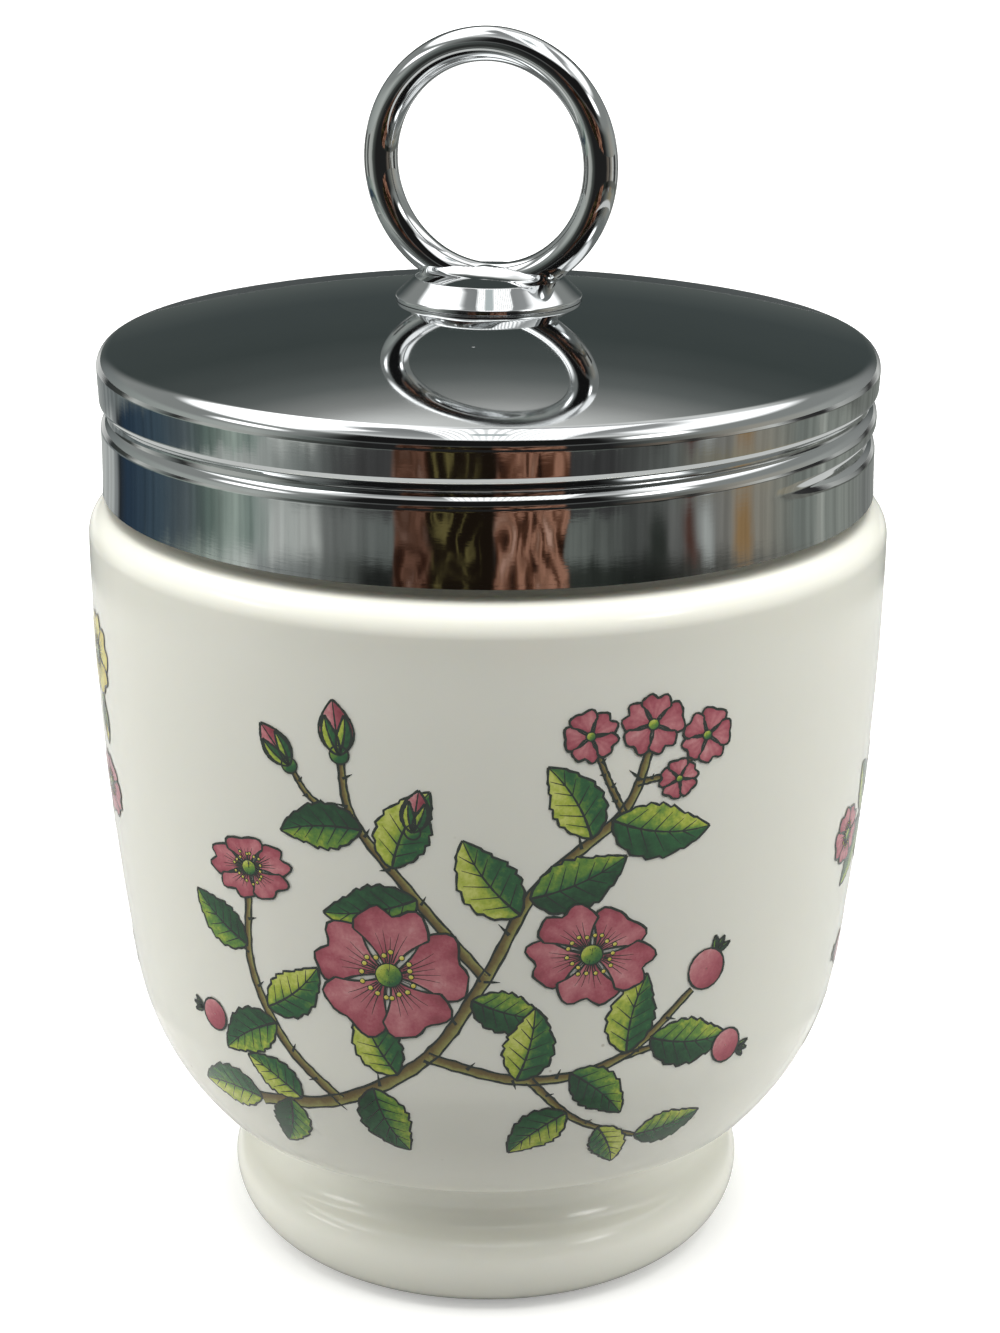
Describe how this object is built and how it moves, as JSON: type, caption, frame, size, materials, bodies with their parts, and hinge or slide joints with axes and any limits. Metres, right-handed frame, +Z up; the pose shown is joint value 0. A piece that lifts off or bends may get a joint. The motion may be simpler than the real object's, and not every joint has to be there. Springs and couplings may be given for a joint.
{
  "type": "egg coddler",
  "caption": "Footed porcelain egg coddler closed by a chrome-plated screw cap with an upright finger ring; the cap screws up and off a right-hand thread.",
  "frame": {"origin": "centre of the foot's underside, on the surface the cup stands on", "axes": "+Z up along the axis of the cup and its thread; the finger ring stands in the XZ plane, so its hole looks along Y"},
  "size_m": [0.059, 0.059, 0.0923],
  "materials": {
    "porcelain": "glossy clear glaze over warm white porcelain, printed botanical sprays under the glaze",
    "chrome_cap": "bright chrome plate over pressed sheet, fine wear",
    "chrome_boss": "bright chrome plate over turned brass",
    "washer_steel": "plain punched washer",
    "chrome_ring": "bright chrome plate over brass wire"
  },
  "bodies": {
    "cup": {"porcelain_cup": "porcelain"},
    "lid_carrier": {"backing_washer": "washer_steel"},
    "lid": {"screw_cap": "chrome_cap", "ring_boss": "chrome_boss", "finger_ring": "chrome_ring"}
  },
  "joints": [
    {"name": "lid_lift", "type": "slide", "parent": "cup", "child": "lid_carrier", "axis": [0, 0, 1], "range_m": [0, 0.0125]},
    {"name": "lid_turn", "type": "hinge", "parent": "lid_carrier", "child": "lid", "pos_m": [0, 0, 0.0727], "axis": [0, 0, 1], "range_deg": [0, 1800]}
  ],
  "couplings": [
    {"joint": "lid_lift", "follows": "lid_turn", "m_per_rad": 0.00039788}
  ]
}
